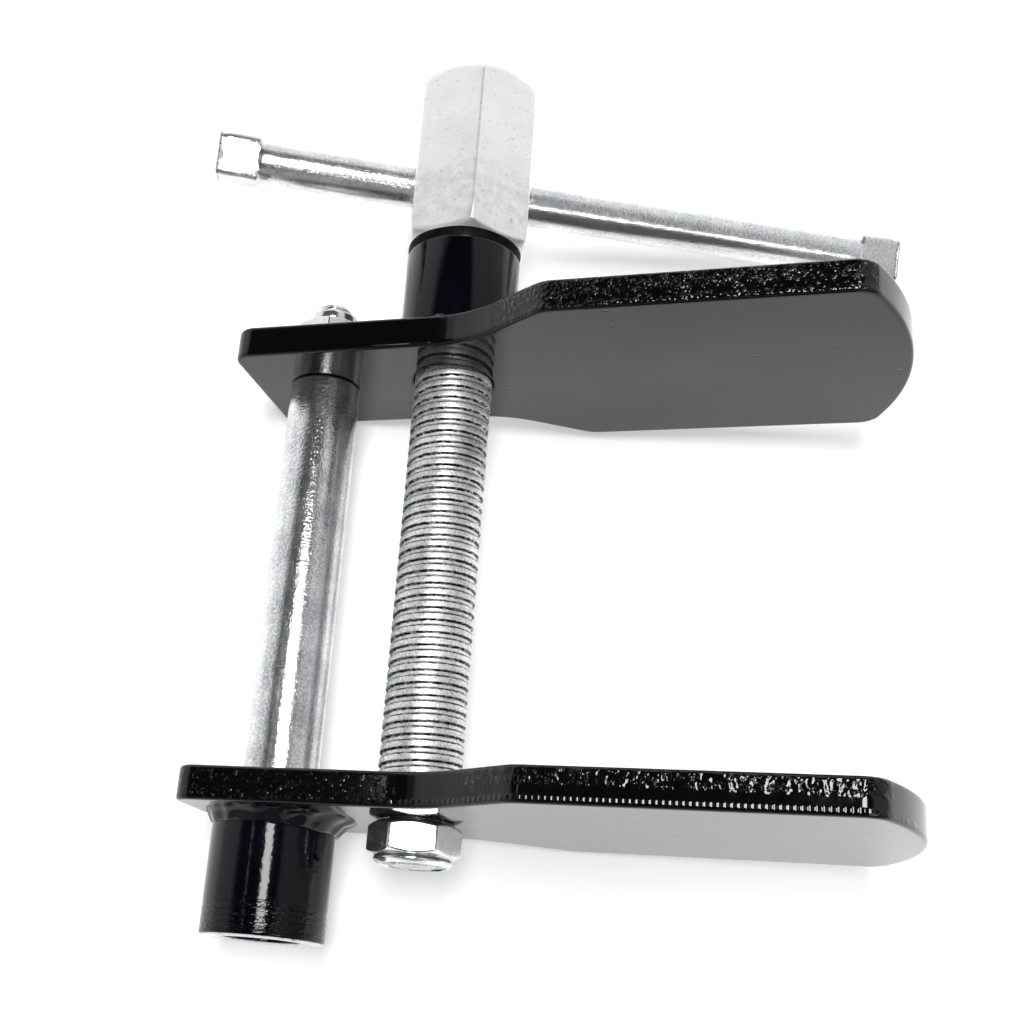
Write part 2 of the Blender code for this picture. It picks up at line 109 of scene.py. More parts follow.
class Shader:
    """A material on a Principled BSDF, patterned in the object's own coordinates. Sizes are in mm."""

    def __init__(self, name):
        self.material = bpy.data.materials.new(name)
        self.material.use_nodes = True
        self.tree = self.material.node_tree
        self.bsdf = self.tree.nodes["Principled BSDF"]
        self.coords = self.tree.nodes.new("ShaderNodeTexCoord").outputs["Object"]
        self.normal = None

    def node(self, kind, **values):
        made = self.tree.nodes.new(kind)
        for key, value in values.items():
            setattr(made, key, value)
        return made

    def put(self, socket, value):
        """Links a socket to the input, or sets a constant on it."""
        if isinstance(value, bpy.types.NodeSocket):
            self.tree.links.new(value, socket)
        else:
            socket.default_value = value

    def stretched(self, scale, vector=None):
        """Coordinates scaled by axis, so that a pattern is drawn out along an axis of small scale."""
        mapping = self.node("ShaderNodeMapping")
        self.put(mapping.inputs["Vector"], vector or self.coords)
        mapping.inputs["Scale"].default_value = scale
        return mapping.outputs["Vector"]

    def local(self, place):
        """Coordinates in a frame fixed to the object, so that a pattern can follow a leaning piece."""
        inverse = place.inverted()
        mapping = self.node("ShaderNodeMapping")
        self.put(mapping.inputs["Vector"], self.coords)
        mapping.inputs["Rotation"].default_value = inverse.to_euler()
        mapping.inputs["Location"].default_value = inverse.to_translation()
        return mapping.outputs["Vector"]

    def parts(self, vector):
        """X, Y and Z of a vector."""
        made = self.node("ShaderNodeSeparateXYZ")
        self.put(made.inputs[0], vector)
        return made.outputs

    def band(self, value, centre, half, soft):
        """1 within half of the centre, falling to 0 over the soft distance beyond."""
        away = self.math("ABSOLUTE", self.math("SUBTRACT", value, centre * MM))
        return self.span(away, half * MM, (half + soft) * MM, 1.0, 0.0)

    def noise(self, per_mm, detail=2.0, rough=0.5, vector=None):
        made = self.node("ShaderNodeTexNoise")
        self.put(made.inputs["Vector"], vector or self.coords)
        made.inputs["Scale"].default_value = per_mm / MM
        made.inputs["Detail"].default_value = detail
        made.inputs["Roughness"].default_value = rough
        return made.outputs["Fac"]

    def cells(self, per_mm):
        """Distance to the nearest of a scatter of points."""
        made = self.node("ShaderNodeTexVoronoi")
        self.put(made.inputs["Vector"], self.coords)
        made.inputs["Scale"].default_value = per_mm / MM
        return made.outputs["Distance"]

    def math(self, operation, a, b=0.0):
        made = self.node("ShaderNodeMath", operation=operation)
        self.put(made.inputs[0], a)
        self.put(made.inputs[1], b)
        return made.outputs[0]

    def span(self, value, low, high, to_low=0.0, to_high=1.0):
        """A stretch of values mapped on to another, and held at its ends."""
        made = self.node("ShaderNodeMapRange")
        self.put(made.inputs["Value"], value)
        made.inputs["From Min"].default_value = low
        made.inputs["From Max"].default_value = high
        made.inputs["To Min"].default_value = to_low
        made.inputs["To Max"].default_value = to_high
        return made.outputs["Result"]

    def mix(self, factor, a, b):
        made = self.node("ShaderNodeMix", data_type="RGBA")
        self.put(made.inputs[0], factor)
        self.put(made.inputs[6], (*a, 1) if isinstance(a, tuple) else a)
        self.put(made.inputs[7], (*b, 1) if isinstance(b, tuple) else b)
        return made.outputs[2]

    def bump(self, height, depth_mm):
        """Adds relief on top of what was bumped before."""
        made = self.node("ShaderNodeBump")
        made.inputs["Strength"].default_value = 1.0
        made.inputs["Distance"].default_value = depth_mm * MM
        self.put(made.inputs["Height"], height)
        if self.normal:
            self.put(made.inputs["Normal"], self.normal)
        self.normal = made.outputs["Normal"]

    def finish(self, colour, roughness, metallic=0.0, **others):
        self.put(self.bsdf.inputs["Base Color"], (*colour, 1) if isinstance(colour, tuple) else colour)
        self.put(self.bsdf.inputs["Roughness"], roughness)
        self.bsdf.inputs["Metallic"].default_value = metallic
        for key, value in others.items():
            self.put(self.bsdf.inputs[key.replace("_", " ")], value)
        if self.normal:
            self.put(self.bsdf.inputs["Normal"], self.normal)
        return self.material


def gloss_paint(name, wave, peel, rough, ior, haze, pitted=False, rim=None):
    """Sprayed gloss paint: a slow wave, fine orange peel, a few nibs of dust and a faint cool haze.

    A jaw's flat face is pitted, with rolling marks and smears along X. A rim is the height of a turned
    end, which is tool-marked and carries a painted highlight in a pale ragged band along its rim.
    """
    s = Shader(name)
    place = s.local(TOOL)
    s.bump(s.noise(0.07, 1.5), wave)
    s.bump(s.noise(1.0, 2.0), peel)
    nibs = s.span(s.cells(0.16), 0.0, 0.05, 1.0, 0.0)
    s.bump(nibs, 0.04)
    clouds = s.span(s.noise(0.035, 4.0, 0.55), 0.35, 0.65)
    shade = s.mix(clouds, (haze * 0.4, haze * 0.45, haze), (haze, haze * 1.1, haze * 2.2))
    if pitted:
        s.bump(s.span(s.cells(0.13), 0.015, 0.06), 0.22)
        rolled = s.span(s.noise(0.5, 3.0, 0.6, s.stretched((0.07, 1, 1), place)), 0.5, 0.8)
        shade = s.mix(rolled, shade, (haze * 1.6, haze * 1.8, haze * 3.0))
        smears = s.span(s.noise(0.06, 4.0, 0.6, s.stretched((0.45, 1, 1), place)), 0.3, 0.7)
        cloudy = s.mix(smears, shade, (haze * 2.6, haze * 2.8, haze * 3.6))
        shade = s.mix(smears, (haze * 0.2, haze * 0.2, haze * 0.3), cloudy)
    if rim is not None:
        x, y, z = s.parts(place)
        marks = s.noise(1.0, 1.0, 0.4, s.stretched((0.45, 2.0, 0.45), place))
        s.bump(s.math("MULTIPLY", s.span(marks, 0.5, 0.8), s.band(y, rim + 4.2, 2.6, 2.0)), 0.10)
        # Painted highlight: a pale ragged band just above the rim stands for the light caught on its rounded
        # edge.
        ragged = s.span(s.noise(0.5, 3.0, 0.6), 0.30, 0.42)
        rim_highlight = s.math("MULTIPLY", s.band(y, rim + 0.10, 0.14, 0.12), ragged)
        shade = s.mix(rim_highlight, shade, (0.72, 0.73, 0.75))
    return s.finish(shade, s.span(s.noise(0.25, 5.0, 0.6), 0.3, 0.7, *rough), IOR=ior)


def edge_paint(name, foot, grain, stretch, depth, teeth):
    """Paint over a sheared edge: lumps torn along the upper part of the arm's edge, and specks.

    Foot is the Y of the plate's lower face, grain the number of lumps to a mm and depth their height.
    Teeth is the height of a row of small teeth above the lower face. Without them that border is torn.
    """
    s = Shader(name)
    place = s.local(TOOL)
    x, y, z = s.parts(place)
    on_arm = s.math("MULTIPLY", s.span(x, 16 * MM, 20 * MM), s.span(x, 103.5 * MM, 101 * MM))
    lumps = s.span(s.noise(grain, 1.0, 0.4, s.stretched(stretch, place)), 0.38, 0.74)
    patches = s.span(s.noise(0.11, 1.0, 0.5, place), 0.30, 0.55, 0.55, 1.0)
    if teeth:
        patches = s.math("MULTIPLY", patches, s.span(x, 25 * MM, 70 * MM, 0.6, 1.0))
        torn = s.band(y, foot + 5.8, 1.4, 0.9)
        speckled_arm = s.math("MULTIPLY", on_arm, s.band(y, foot + 5.8, 1.4, 0.7))
        by_rod = s.span(x, 2 * MM, 0.0, 0.0, 0.8)
        speckled = s.math("ADD", speckled_arm, s.math("MULTIPLY", by_rod, s.band(y, foot + 4.0, 2.8, 0.8)))
    else:
        torn = s.math("ADD", s.band(y, foot + 5.3, 1.5, 1.2), s.band(y, foot + 1.0, 0.3, 0.5))
        speckled = s.math("MULTIPLY", on_arm, s.band(y, foot + 4.4, 2.8, 0.8))
    s.bump(s.math("MULTIPLY", s.math("MULTIPLY", lumps, torn), s.math("MULTIPLY", on_arm, patches)), depth)
    specks = s.span(s.noise(1.0, 1.0, 0.4, place), 0.58, 0.76)
    s.bump(s.math("MULTIPLY", specks, speckled), 0.10)
    if teeth:
        wave = s.math("SINE", s.math("MULTIPLY", x, 2 * math.pi / (TEETH_PITCH * MM)))
        row = s.math("MULTIPLY", s.span(wave, -1.0, 1.0), s.band(y, foot + 1.25, 0.34, 0.30))
        broken = s.math("MAXIMUM", on_arm, s.span(s.noise(0.25, 2.0, 0.5, place), 0.50, 0.60))
        s.bump(s.math("MULTIPLY", row, broken), teeth)
    s.bump(s.noise(0.10, 1.0), 0.04)
    shade = s.mix(s.noise(0.3, 4.0), (0.001, 0.001, 0.0012), (0.003, 0.003, 0.0036))
    return s.finish(shade, s.span(s.noise(0.5, 5.0, 0.6), 0.3, 0.7, 0.05, 0.10), IOR=1.44)


def zinc(name, stretch, rough, mottle, streak, tone, metal, place=None, threaded=False):
    """Bright zinc plate: a fine mottle, streaks along the drawn direction, and painted shade in two dark lines
    along the edges of the thread's groove.
    """
    s = Shader(name)
    place = s.local(place) if place else None
    along = s.stretched(stretch, place)
    streaks = s.noise(1.6, 4.0, 0.65, along)
    speckle = s.noise(1.7, 2.0, 0.6)
    s.bump(speckle, mottle)
    s.bump(streaks, streak)
    patches = s.noise(0.1, 3.0, 0.6)
    amount = s.math("ADD", s.math("MULTIPLY", speckle, 0.55), s.math("MULTIPLY", patches, 0.45))
    low, high = tone
    shade = s.mix(s.span(amount, 0.36, 0.62), (low * 0.97, low, low * 1.02), (high * 0.985, high, high))
    if threaded:
        # Painted shade: two dark lines a pitch along the groove's edges stand for the shade in the thread's
        # recesses, on the length above the moving jaw.
        x, y, z = s.parts(place)
        turns = s.math("MULTIPLY", s.math("ARCTAN2", z, x), 1 / (2 * math.pi))
        ragged = s.span(s.noise(0.9, 3.0, 0.6), 0.3, 0.7, GROOVE_PHASE - 0.035, GROOVE_PHASE + 0.035)
        phase = s.math("ADD", s.math("MULTIPLY", y, 1 / (PITCH * MM)), s.math("ADD", turns, ragged))
        phase = s.math("FRACT", phase)
        groove_shade = s.span(s.noise(0.7, 3.0, 0.65), 0.36, 0.52, 0.35, 1.0)
        groove_shade = s.math("MULTIPLY", groove_shade, s.span(y, -GAP * MM, (0.5 - GAP) * MM))
        for flank in GROOVE_SHADE_LINES:
            away = s.math("ABSOLUTE", s.math("SUBTRACT", phase, flank))
            line = s.math("MULTIPLY", s.span(away, 0.045, 0.110, 1.0, 0.0), groove_shade)
            shade = s.mix(line, shade, (0.012, 0.013, 0.016))
    return s.finish(shade, s.span(s.noise(0.6, 5.0, 0.7), 0.3, 0.7, *rough), metal)


def matt_zinc(name):
    """The head's matt plate: pitted, scratched round it, flecked, and darker in a smudged band on its lower
    part.
    """
    s = Shader(name)
    pits = s.span(s.cells(0.28), 0.02, 0.10, 0.0, 1.0)
    fine = s.noise(1.2, 5.0, 0.65)
    s.bump(pits, 0.06)
    s.bump(fine, 0.03)
    scratch = s.noise(0.9, 2.0, 0.5, s.stretched((1, 0.12, 0.4)))
    s.bump(scratch, 0.015)
    clouds = s.span(s.noise(0.09, 4.0, 0.6), 0.3, 0.7)
    shade = s.mix(clouds, (0.86, 0.87, 0.86), (0.95, 0.95, 0.94))
    x, y, z = s.parts(s.local(TOOL))
    smudges = s.span(s.noise(0.35, 4.0, 0.7), 0.35, 0.60)
    # Darker in a smudged band on the head's lower part, below the bar's eye.
    lower_darkening = s.math("MULTIPLY", s.band(y, HEAD_FOOT + 10, 5.5, 6.0), smudges)
    shade = s.mix(s.math("MULTIPLY", lower_darkening, 0.5), shade, (0.58, 0.58, 0.57))
    flecks = s.span(s.noise(0.7, 3.0, 0.65), 0.62, 0.70)
    shade = s.mix(s.math("MULTIPLY", flecks, 0.6), shade, (0.42, 0.42, 0.41))
    shade = s.mix(s.span(pits, 0.0, 1.0, 0.6, 0.0), shade, (0.22, 0.22, 0.22))
    return s.finish(shade, s.span(fine, 0.3, 0.7, 0.26, 0.38), 0.7)


def foot_shade_paint(name):
    """Painted shade on the head's foot, which turns close over the collar: near black, for the shade in the
    narrow gap between them.
    """
    s = Shader(name)
    s.bump(s.noise(0.8, 4.0, 0.6), 0.08)
    # Painted shade: the colour is near black because the foot sits in the shade of the gap over the collar.
    shade = s.mix(s.span(s.noise(0.5, 4.0), 0.4, 0.65), (0.006, 0.006, 0.007), (0.03, 0.03, 0.032))
    return s.finish(shade, s.span(s.noise(0.7, 3.0), 0.3, 0.7, 0.4, 0.6))


def nylon(name):
    s = Shader(name)
    s.bump(s.noise(0.8, 3.0), 0.02)
    shade = s.mix(s.noise(0.3, 3.0), (0.62, 0.65, 0.68), (0.74, 0.76, 0.78))
    return s.finish(shade, s.span(s.noise(0.6, 3.0), 0.3, 0.7, 0.42, 0.55), Subsurface_Weight=0.15)


def floor_material():
    """A matt pale floor with a slight glow, which keeps the ground under the tool near white."""
    s = Shader("pale_floor")
    shade = s.mix(s.noise(0.004, 3.0), (0.90, 0.90, 0.90), (0.93, 0.93, 0.93))
    glow = s.mix(s.noise(0.004, 3.0), (0.97, 0.98, 1.0), (1.0, 1.0, 1.0))
    return s.finish(shade, s.span(s.noise(0.02, 3.0), 0.3, 0.7, 0.55, 0.65), Specular_IOR_Level=0.2,
                    Emission_Color=glow, Emission_Strength=0.33)


# ------------------------------------------------------------------ mesh helpers


def make(name, build, body, materials, replaces, angle=40, matrix=TOOL):
    """Builds a piece in a frame, in millimetres, hangs it on its body and lets it stand for its nodes."""
    mesh = bpy.data.meshes.new(name)
    work = bmesh.new()
    build(work)
    bmesh.ops.remove_doubles(work, verts=work.verts, dist=0.0005)
    bmesh.ops.recalc_face_normals(work, faces=work.faces)
    bmesh.ops.scale(work, vec=(MM, MM, MM), verts=work.verts)
    work.transform(matrix)
    work.to_mesh(mesh)
    work.free()
    for face in mesh.polygons:
        face.use_smooth = True
    mesh.set_sharp_from_angle(angle=math.radians(angle))
    obj = bpy.data.objects.new(name, mesh)
    bpy.context.scene.collection.objects.link(obj)
    for material in materials:
        mesh.materials.append(material)
    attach(obj, body)
    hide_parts(*replaces)
    return obj


def rounded(points, radii, steps=4, closed=False):
    """A polyline with each corner rounded to its radius; 0 leaves the corner as it is."""
    result = []
    count = len(points)
    for i, (point, radius) in enumerate(zip(points, radii)):
        inner = closed or 0 < i < count - 1
        if not radius or not inner:
            result.append(point)
            continue
        here = Vector(point)
        before = Vector(points[i - 1]) - here
        after = Vector(points[(i + 1) % count]) - here
        half = before.angle(after) / 2
        reach = min(radius / math.tan(half), before.length * 0.499, after.length * 0.499)
        radius = reach * math.tan(half)
        start = here + before.normalized() * reach
        end = here + after.normalized() * reach
        centre = here + (before.normalized() + after.normalized()).normalized() * (radius / math.sin(half))
        a = start - centre
        b = end - centre
        for k in range(steps + 1):
            result.append(tuple(centre + a.slerp(b, k / steps).normalized() * radius))
    return result


def grid(work, rows, wrap_rows=False, wrap_columns=True):
    """Faces over rows of points. Returns the rows of vertices."""
    made = [[work.verts.new(p) for p in row] for row in rows]
    pairs = list(zip(made, made[1:])) + ([(made[-1], made[0])] if wrap_rows else [])
    for upper, lower in pairs:
        count = len(upper)
        for i in range(count if wrap_columns else count - 1):
            j = (i + 1) % count
            work.faces.new((upper[i], upper[j], lower[j], lower[i]))
    return made


def ring(radius, height, count, x=0.0, z=0.0):
    """A ring round the tool's Y, or round a line beside it."""
    step = 2 * math.pi / count
    return [(x + radius * math.cos(i * step), height, z + radius * math.sin(i * step)) for i in range(count)]


def cap(work, row, centre):
    """Closes a ring of vertices with a fan."""
    middle = work.verts.new(centre)
    for i, vertex in enumerate(row):
        work.faces.new((vertex, row[(i + 1) % len(row)], middle))


def lathe(work, profile, count, x=0.0, closed=False):
    """A turned body about Y from (radius, height) points. An open profile is closed by its end caps."""
    made = grid(work, [ring(radius, height, count, x) for radius, height in profile], wrap_rows=closed)
    if not closed:
        for row, (_, height) in ((made[0], profile[0]), (made[-1], profile[-1])):
            cap(work, row, (x, height, 0))


def hex_radius(angle, apothem, sharpness):
    """Distance from the axis to a hexagon's side, with its corners slightly rounded."""
    total = 0.0
    for k in range(6):
        c = math.cos(angle - k * math.pi / 3)
        if c > 0:
            total += c**sharpness
    return apothem / total ** (1 / sharpness)


# Angles of one sixth of a hexagon, closer together towards the corners.
SECTOR = [-30, -29.2, -28.2, -26.8, -24.5, -20, -13, -5, 5, 13, 20, 24.5, 26.8, 28.2, 29.2]


def hexed(work, profile, apothem, turn, closed=False, sharpness=70, blend=60):
    """A six-sided body about Y inside the round envelope of (radius, height) points.

    A third value of 0 keeps a point round, as on a collar or a bore.
    """
    angles = [math.radians(60 * k + a) for k in range(6) for a in SECTOR]
    rows = []
    for radius, height, *flat in profile:
        row = []
        for angle in angles:
            r = radius
            if not flat or flat[0]:
                side = hex_radius(angle, apothem, sharpness)
                r = (side**-blend + radius**-blend) ** (-1 / blend)
            row.append((r * math.cos(angle), height, r * math.sin(angle)))
        rows.append([turned_about_y(p, turn) for p in row])
    made = grid(work, rows, wrap_rows=closed)
    if not closed:
        for row, point in ((made[0], profile[0]), (made[-1], profile[-1])):
            cap(work, row, (0, point[1], 0))


def turned_about_y(p, turn):
    c, s = math.cos(turn), math.sin(turn)
    return (p[0] * c + p[2] * s, p[1], -p[0] * s + p[2] * c)


def shifted(build, x):
    """A builder that moves what another makes along X."""

    def run(work):
        before = set(work.verts)
        build(work)
        new = [v for v in work.verts if v not in before]
        bmesh.ops.translate(work, vec=(x, 0, 0), verts=new)

    return run


# ------------------------------------------------------------------ plates


def arc(cx, cz, radius, start, end, step=math.radians(4)):
    """Points along an arc between two angles, both ends included."""
    count = max(2, math.ceil(abs(end - start) / step) + 1)
    angles = [start + (end - start) * i / (count - 1) for i in range(count)]
    return [(cx + radius * math.cos(a), cz + radius * math.sin(a)) for a in angles]


def half_outline():
    """Half of a jaw's outline: the end beside the guide rod, the neck, the arm, and half the tip."""
    corner = 5.0
    points = arc(END_X + corner, NECK - corner, corner, math.pi, math.pi / 2)
    # The neck widens into the arm by a hollow curve, a straight slope and a crest.
    hollow, crest, slope_angle, start = 30.0, 8.0, math.radians(32), -0.5
    points += arc(start, NECK + hollow, hollow, -math.pi / 2, slope_angle - math.pi / 2)
    bends = hollow + crest
    slope = (ARM - NECK - bends * (1 - math.cos(slope_angle))) / math.sin(slope_angle)
    x = start + bends * math.sin(slope_angle) + slope * math.cos(slope_angle)
    points += arc(x, ARM - crest, crest, slope_angle + math.pi / 2, math.pi / 2)
    tip, tip_corner = 70.0, 6.0
    centre = REACH - tip
    rise = ARM - tip_corner
    run = math.sqrt((tip - tip_corner) ** 2 - rise**2)
    meeting = math.atan2(rise, run)
    points += arc(centre + run, rise, tip_corner, math.pi / 2, meeting)
    points += arc(centre, 0, tip, meeting, 0, math.radians(1))[1:]
    return points


def evenly(points, step):
    """The closed outline with long stretches divided, and each point's outward normal."""
    result = []
    count = len(points)
    for i in range(count):
        a, b = Vector(points[i]), Vector(points[(i + 1) % count])
        parts = max(1, round((b - a).length / step))
        result += [a.lerp(b, k / parts) for k in range(parts)]
    normals = []
    count = len(result)
    for i in range(count):
        d = result[(i + 1) % count] - result[i - 1]
        normals.append(Vector((-d.y, d.x)).normalized())
    return result, normals


def plate_builder(y_inner, y_outer, holes, seed):
    """A bored jaw plate with rounded borders, and an edge left lumpy by the shear along the arm."""
    upper = half_outline()
    outline, normals = evenly(upper + [(x, -z) for x, z in upper[-2::-1]], 0.55)
    side = 1 if y_outer > y_inner else -1

    def roughness_at(x, y, z):
        """How far the sheared edge stands out or falls short here."""
        rise = (y - min(y_inner, y_outer)) / PLATE
        torn = min(1.0, max(0.0, (rise - 0.35) / 0.2))
        on_arm = min(1.0, max(0.0, (x - 15) / 5), max(0.0, (104 - x) / 3)) * (0.25 + 0.75 * torn)
        lumps = noise.noise(Vector((x * 0.36 + seed, y * 0.15, z * 0.36)))
        fine = noise.noise(Vector((x * 0.9, y * 0.3 + seed, z * 0.9 + 7)))
        return (0.006 + 0.07 * on_arm) * lumps + 0.03 * on_arm * fine

    def build(work):
        # Each level's inset from the outline, and its depth below the outer face.
        turns = [math.radians(18 * k) for k in range(6)]
        levels = [(BEVEL + 0.5, 0.0)]
        levels += [(BEVEL * (1 - math.sin(a)), BEVEL * (1 - math.cos(a))) for a in turns]
        levels += [(0.0, BEVEL + (PLATE - 2 * BEVEL) * k / 11) for k in range(1, 11)]
        levels += [(inset, PLATE - depth) for inset, depth in levels[6::-1]]
        rows = []
        for inset, depth in levels:
            y = y_outer - side * depth
            weight = max(0.0, 1 - inset / (BEVEL * 0.75))
            row = []
            for p, n in zip(outline, normals):
                push = weight * roughness_at(p.x, y, p.y) - inset
                row.append((p.x + n.x * push, y, p.y + n.y * push))
            rows.append(row)
        made = grid(work, rows)
        for face in work.faces:
            middle = face.calc_center_median().y
            if min(abs(middle - y_inner), abs(middle - y_outer)) > BEVEL * 0.12:
                face.material_index = 1
        borders = ([made[0]], [made[-1]])
        for x, radius in holes:
            heights = [y_outer, y_outer, y_outer - side * 0.3, y_inner + side * 0.3, y_inner, y_inner]
            sizes = [radius + 0.7, radius + 0.3, radius, radius, radius + 0.3, radius + 0.7]
            walls = grid(work, [ring(r, h, 72, x) for r, h in zip(sizes, heights)])
            borders[0].append(walls[0])
            borders[1].append(walls[-1])
        for loops in borders:
            edges = []
            for loop in loops:
                edges += [work.edges.get((v, loop[(i + 1) % len(loop)])) for i, v in enumerate(loop)]
            bmesh.ops.triangle_fill(work, edges=edges, use_beauty=True)
        work.normal_update()

    return build


# ------------------------------------------------------------------ threads, nuts, welds

# One pitch of a thread: how far along it, and how deep as a share of the full depth.
THREAD = [(0.00, 0), (0.02, 0.05), (0.08, 0.50), (0.13, 0.93), (0.16, 1.0), (0.27, 0.97), (0.38, 1.0),
          (0.41, 0.93), (0.46, 0.50), (0.52, 0.05), (0.54, 0), (0.66, -0.03), (0.86, -0.03)]


def add_thread(work, radius, depth, pitch, low, high, count, fade):
    """Sweeps a right-hand thread round Y, both ends faded to plain, and returns the plain radius."""
    root = radius - depth * 0.5
    turns = math.ceil((high - low) / pitch) + 2
    made = []
    for s in range(turns * count + 1):
        angle = -2 * math.pi * s / count
        lift = low - pitch + pitch * s / count
        line = []
        for part, deep in THREAD:
            h = min(high, max(low, lift + part * pitch))
            ease = min(1.0, (h - low) / fade, (high - h) / fade)
            r = root + (radius - deep * depth - root) * ease
            line.append(work.verts.new((r * math.cos(angle), h, r * math.sin(angle))))
        made.append(line)
    for s in range(len(made) - 1):
        for k in range(len(made[0]) - 1):
            quad(work, made[s][k], made[s + 1][k], made[s + 1][k + 1], made[s][k + 1])
        later = s + count
        if later + 1 < len(made):
            quad(work, made[s][-1], made[s + 1][-1], made[later + 1][0], made[later][0])
    return root


def quad(work, *corners):
    """A face over four points, unless they have fallen together on a line at the thread's clamped ends."""
    spots = {tuple(round(c, 5) for c in v.co) for v in corners}
    if len(spots) > 2:
        work.faces.new(corners)


# A weld bead's section: how far out from the turned part and up from the plate, as shares of its leg.
BEAD = [(-0.02, 1.03), (0.10, 1.02), (0.22, 0.88), (0.36, 0.66), (0.52, 0.46), (0.68, 0.30),
        (0.84, 0.17), (0.97, 0.06), (1.04, -0.01), (0.6, -0.015), (0.0, -0.02), (-0.03, 0.5)]


def weld_builder(inner, foot, side, leg, x, seed, bulge):
    """A rippled bead round a turned part, wider by the bulge on the side of the jaw's tip."""
    count, ripples = 168, 17

    def build(work):
        rows = []
        for out, up in BEAD:
            row = []
            for i in range(count):
                angle = 2 * math.pi * i / count
                c, s = math.cos(angle), math.sin(angle)
                size = leg * (1 + 0.12 * noise.noise(Vector((c * 1.6 + seed, s * 1.6, 3.0))))
                wander = 3.0 * noise.noise(Vector((c * 2, s * 2, seed)))
                ripple = 0.10 * math.sin(angle * ripples + wander + out * 2.5)
                ripple += 0.14 * noise.noise(Vector((c * 4, s * 4, out * 3 + seed)))
                lift = ripple * leg * 0.5 if out > 0.05 and up > 0.05 else 0.0
                r = inner + (size + bulge * c) * out + lift * 0.7
                h = (size + 0.3 * bulge * c) * up + lift * 0.7
                row.append((x + r * c, foot + side * h, r * s))
            rows.append(row)
        grid(work, rows, wrap_rows=True)

    return build


def lock_nut_profile(apothem, hex_height, height, collar, bore, insert):
    """(radius, height, hexed) from the bore's foot out, up the flats and collar, and back down inside."""
    corner = apothem / math.cos(math.pi / 6)
    face = apothem * 0.965
    chamfer = corner * 1.06 - face
    drop = (corner * 1.04 - face) * math.tan(math.radians(30))
    shares = [k / 7 for k in range(8)]
    outer = [(bore, 0.25, 0), (bore + 0.35, 0, 0), (face - 0.2, 0, 0), (face, 0.06)]
    outer += [(face + chamfer * t, 0.06 + drop * t) for t in shares]
    outer.append((corner * 1.3, hex_height * 0.5))
    outer += [(corner * 1.06 - chamfer * t, hex_height - drop * (1 - t)) for t in shares]
    neck = min(collar, face) - 0.15
    outer += [(neck + 0.25, hex_height + 0.02, 0), (neck, hex_height + 0.2, 0)]
    inside = height - 2.6
    lip = rounded(
        [(neck, hex_height + 0.2), (collar, hex_height + 0.9), (collar, height - 0.9),
         (max(collar - 1.3, insert + 0.3), height), (insert + 0.15, height - 0.1),
         (insert, height - 0.6), (insert, inside), (bore, inside)],
        [0, 0.3, 1.1, 0.5, 0.25, 0.2, 0, 0],
    )
    outer += [(r, h, 0) for r, h in lip[1:]]
    outer.append((bore, height - 3.0, 0))
    return outer


def nut_builder(apothem, hex_height, height, collar, bore, insert, turn, foot, outward, x=0.0):
    """A lock nut standing on its foot and pointing up (outward 1) or down (-1)."""
    profile = lock_nut_profile(apothem, hex_height, height, collar, bore, insert)
    placed = [(p[0], foot + outward * p[1], *p[2:]) for p in profile]
    return shifted(lambda work: hexed(work, placed, apothem, turn, closed=True), x)


def tube_builder(outer, inner, low, high, edge, inner_edge, x=0.0):
    """A tube with its outer and inner edges rounded."""
    corners = [(outer, high), (outer, low), (inner, low), (inner, high)]
    profile = rounded(corners, [edge, edge, inner_edge, inner_edge], closed=True)
    return lambda work: lathe(work, profile, 120, x, closed=True)


# ------------------------------------------------------------------ materials

paint = gloss_paint("black_gloss_paint", 0.06, 0.016, (0.05, 0.12), 1.34, 0.0025)
boss_paint = gloss_paint("black_gloss_paint_boss", 0.06, 0.032, (0.05, 0.12), 1.34, 0.0025, rim=BOSS_END)
fixed_face = gloss_paint("black_gloss_paint_fixed_face", 0.05, 0.004, (0.06, 0.13), 1.374, 0.006, pitted=True)
moving_face = gloss_paint("black_gloss_paint_moving_face", 0.05, 0.004, (0.06, 0.13), 1.545, 0.006, pitted=True)
fixed_edge = edge_paint("black_paint_fixed_edge", 0.0, 1.15, (1, 0.8, 1), 0.14, 0.0)
moving_edge = edge_paint("black_paint_moving_edge", MOVING_FOOT, 0.62, (1, 0.7, 1), 0.21, 0.075)
weld_paint = gloss_paint("black_gloss_paint_weld", 0.1, 0.05, (0.08, 0.18), 1.34, 0.0025)
rod_zinc = zinc("zinc_drawn_rod", (1, 0.05, 1), (0.12, 0.24), 0.085, 0.02, (0.42, 0.84), 0.95)
bar_zinc = zinc("zinc_tommy_bar", (1, 1, 0.05), (0.14, 0.27), 0.06, 0.02, (0.54, 0.88), 0.90, BAR)
thread_zinc = zinc("zinc_rolled_thread", (1, 1, 1), (0.36, 0.52), 0.06, 0.01, (0.42, 0.94), 0.8, TOOL,
                   threaded=True)
nut_zinc = zinc("zinc_lock_nut", (1, 1, 1), (0.10, 0.22), 0.010, 0.003, (0.66, 0.84), 0.95)
head_zinc = matt_zinc("zinc_matt_head")
# The head's foot takes painted shade.
head_foot_shade = foot_shade_paint("painted_shade_head_foot")
insert_nylon = nylon("nylon_insert")

# ------------------------------------------------------------------ fixed jaw

fixed_holes = [(0.0, SPINDLE_R + 0.3), (ROD_X, STUD_HOLE)]
make("fixed_jaw_plate_body", plate_builder(0.0, PLATE, fixed_holes, 3.0), "fixed_jaw",
     [fixed_face, fixed_edge], ["fixed_jaw_plate"], 50)
make("collar_body", tube_builder(COLLAR_R, SPINDLE_R + 0.1, PLATE + 0.02, COLLAR_TOP, 1.0, 0.8), "fixed_jaw",
     [paint], ["threaded_collar"])
make("collar_weld_bead", weld_builder(COLLAR_R, PLATE, 1, 3.6, 0.0, 1.0, 0.0), "fixed_jaw",
     [weld_paint], ["collar_weld"])


